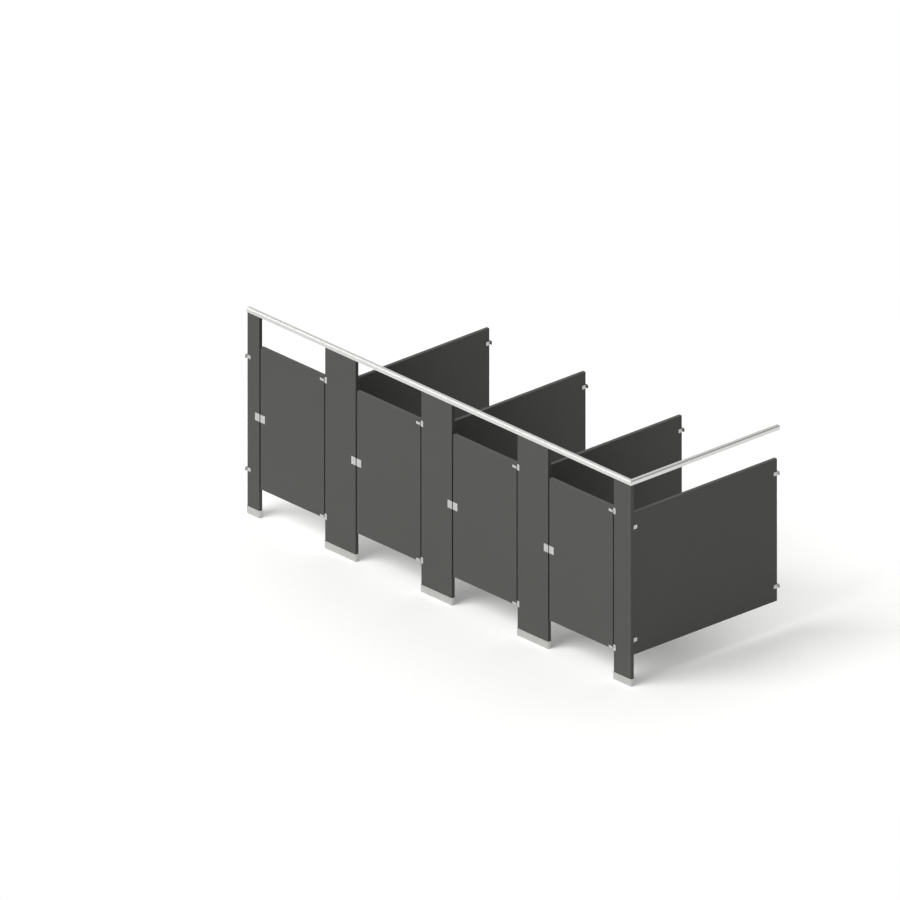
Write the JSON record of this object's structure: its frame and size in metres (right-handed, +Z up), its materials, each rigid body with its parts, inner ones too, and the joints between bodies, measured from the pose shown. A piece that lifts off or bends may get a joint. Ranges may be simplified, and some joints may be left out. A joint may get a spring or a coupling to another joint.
{
  "type": "bathroom stall partition",
  "caption": "Overhead-braced toilet cubicle run for a washroom corner, with charcoal laminate doors, dividers and pilasters, aluminium headrail, steel shoes, pivot hinges and slide latches",
  "frame": {"origin": "on the floor, under the centre of the bounding box", "axes": "+X runs along the front from the side wall to the open end, +Y runs from the doors back to the rear wall, +Z is up; the doors face -Y"},
  "size_m": [5.39, 1.926, 2.126],
  "materials": {
    "charcoal_laminate": "matt charcoal high-pressure laminate on board",
    "satin_chrome": "satin chrome plated",
    "anodised_aluminium": "clear anodised extrusion",
    "stainless_steel": "brushed stainless sheet",
    "zinc_plated_steel": "zinc plated",
    "white_nylon": "natural nylon",
    "black_rubber": "moulded rubber"
  },
  "bodies": {
    "root": {"pilaster_1": "charcoal_laminate", "pilaster_2": "charcoal_laminate", "pilaster_3": "charcoal_laminate", "pilaster_4": "charcoal_laminate", "pilaster_5": "charcoal_laminate", "divider_panel_1": "charcoal_laminate", "divider_panel_2": "charcoal_laminate", "divider_panel_3": "charcoal_laminate", "end_panel": "charcoal_laminate", "shoes": "stainless_steel", "floor_plates": "zinc_plated_steel", "levelling_bolts": "zinc_plated_steel", "headrail_front": "anodised_aluminium", "headrail_side": "anodised_aluminium", "headrail_elbow": "zinc_plated_steel", "headrail_sockets": "satin_chrome", "stirrup_brackets": "satin_chrome", "hinge_brackets": "satin_chrome", "hinge_pins": "zinc_plated_steel", "hinge_bushes": "white_nylon", "keepers": "satin_chrome", "keeper_buffers": "black_rubber", "frame_bolts": "satin_chrome", "frame_screws": "satin_chrome"},
    "door_1": {"door_1": "charcoal_laminate", "hinge_clips_1": "satin_chrome", "latch_plate_1": "satin_chrome", "latch_case_1": "satin_chrome", "coat_hook_1": "satin_chrome", "hook_tip_1": "black_rubber", "door_bolts_1": "satin_chrome"},
    "latch_1": {"latch_bolt_1": "satin_chrome", "latch_knob_1": "satin_chrome"},
    "door_2": {"door_2": "charcoal_laminate", "hinge_clips_2": "satin_chrome", "latch_plate_2": "satin_chrome", "latch_case_2": "satin_chrome", "coat_hook_2": "satin_chrome", "hook_tip_2": "black_rubber", "door_bolts_2": "satin_chrome"},
    "latch_2": {"latch_bolt_2": "satin_chrome", "latch_knob_2": "satin_chrome"},
    "door_3": {"door_3": "charcoal_laminate", "hinge_clips_3": "satin_chrome", "latch_plate_3": "satin_chrome", "latch_case_3": "satin_chrome", "coat_hook_3": "satin_chrome", "hook_tip_3": "black_rubber", "door_bolts_3": "satin_chrome"},
    "latch_3": {"latch_bolt_3": "satin_chrome", "latch_knob_3": "satin_chrome"},
    "door_4": {"door_4": "charcoal_laminate", "hinge_clips_4": "satin_chrome", "latch_plate_4": "satin_chrome", "latch_case_4": "satin_chrome", "coat_hook_4": "satin_chrome", "hook_tip_4": "black_rubber", "door_bolts_4": "satin_chrome"},
    "latch_4": {"latch_bolt_4": "satin_chrome", "latch_knob_4": "satin_chrome"}
  },
  "joints": [
    {"name": "door_1_swing", "type": "hinge", "parent": "root", "child": "door_1", "pos_m": [-1.628, -0.919, 0.318], "axis": [0, 0, -1], "range_deg": [0, 95], "stiffness_Nm_per_rad": 2.5, "springref_deg": -34.38},
    {"name": "latch_1_slide", "type": "slide", "parent": "door_1", "child": "latch_1", "axis": [-1, 0, 0], "range_m": [0, 0.03]},
    {"name": "door_2_swing", "type": "hinge", "parent": "root", "child": "door_2", "pos_m": [-0.28, -0.919, 0.318], "axis": [0, 0, -1], "range_deg": [0, 95], "stiffness_Nm_per_rad": 2.5, "springref_deg": -34.38},
    {"name": "latch_2_slide", "type": "slide", "parent": "door_2", "child": "latch_2", "axis": [-1, 0, 0], "range_m": [0, 0.03]},
    {"name": "door_3_swing", "type": "hinge", "parent": "root", "child": "door_3", "pos_m": [1.068, -0.919, 0.318], "axis": [0, 0, -1], "range_deg": [0, 95], "stiffness_Nm_per_rad": 2.5, "springref_deg": -34.38},
    {"name": "latch_3_slide", "type": "slide", "parent": "door_3", "child": "latch_3", "axis": [-1, 0, 0], "range_m": [0, 0.03]},
    {"name": "door_4_swing", "type": "hinge", "parent": "root", "child": "door_4", "pos_m": [2.416, -0.919, 0.318], "axis": [0, 0, -1], "range_deg": [0, 95], "stiffness_Nm_per_rad": 2.5, "springref_deg": -34.38},
    {"name": "latch_4_slide", "type": "slide", "parent": "door_4", "child": "latch_4", "axis": [-1, 0, 0], "range_m": [0, 0.03]}
  ]
}
